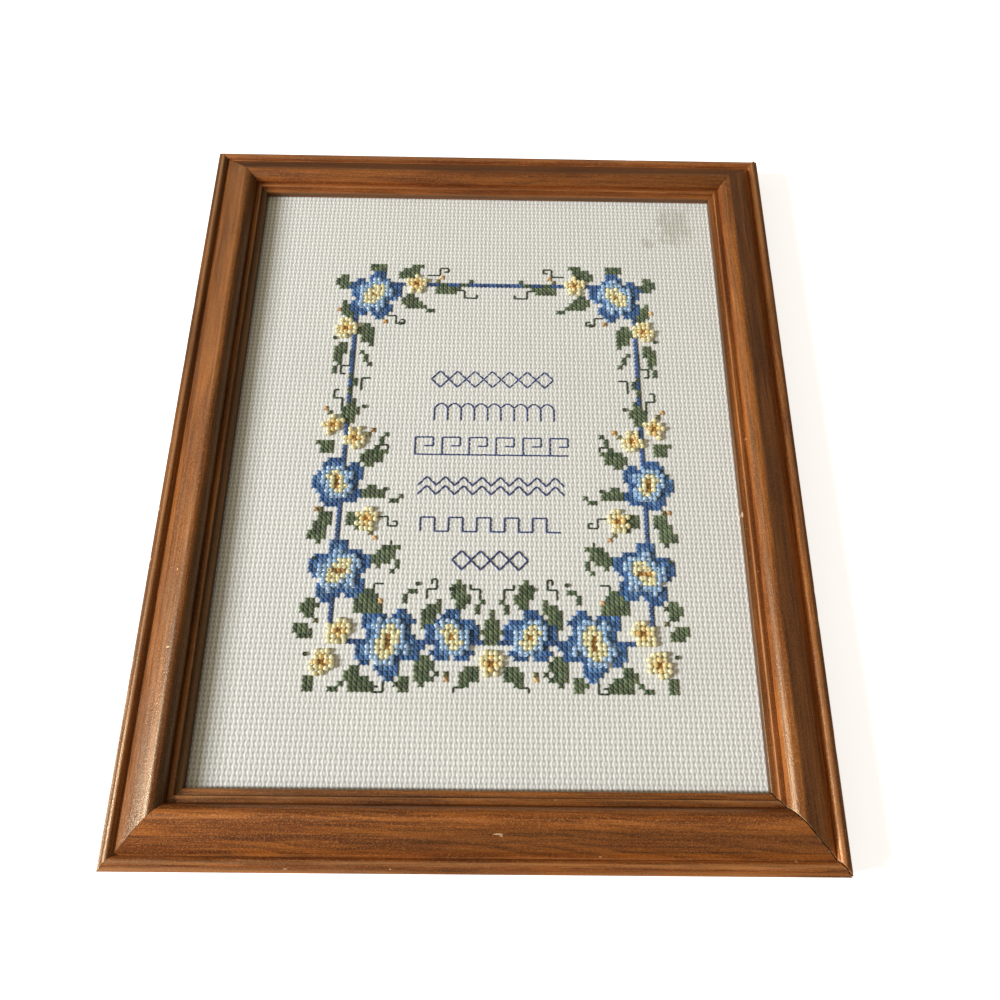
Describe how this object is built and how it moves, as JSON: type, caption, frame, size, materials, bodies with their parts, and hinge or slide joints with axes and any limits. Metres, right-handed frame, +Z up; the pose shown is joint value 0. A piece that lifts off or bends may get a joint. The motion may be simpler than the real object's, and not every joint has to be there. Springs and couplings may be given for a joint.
{
  "type": "framed cross stitch sampler, cloth in a wooden picture frame",
  "caption": "Rectangular picture frame of stepped, stained wooden moulding holding a flat cross stitched cloth over a stiff board.",
  "frame": {"origin": "middle of the back of the frame, on the surface that it lies on", "axes": "+X to the picture's right, +Y to the picture's top, +Z up out of the picture's face"},
  "size_m": [0.2406, 0.2912, 0.0188],
  "materials": {
    "stained_wood": "reddish-brown stained softwood, satin varnish",
    "ivory_cloth": "matt block-weave cotton",
    "grey_board": "matt pressed fibre board",
    "blue_thread": "soft sheen cotton floss",
    "green_thread": "soft sheen cotton floss",
    "glass_beads": "opaque pearl gloss"
  },
  "bodies": {
    "root": {"rail_top": "stained_wood", "rail_bottom": "stained_wood", "rail_left": "stained_wood", "rail_right": "stained_wood", "stitched_cloth": "ivory_cloth", "backing_board": "grey_board"}
  },
  "joints": []
}
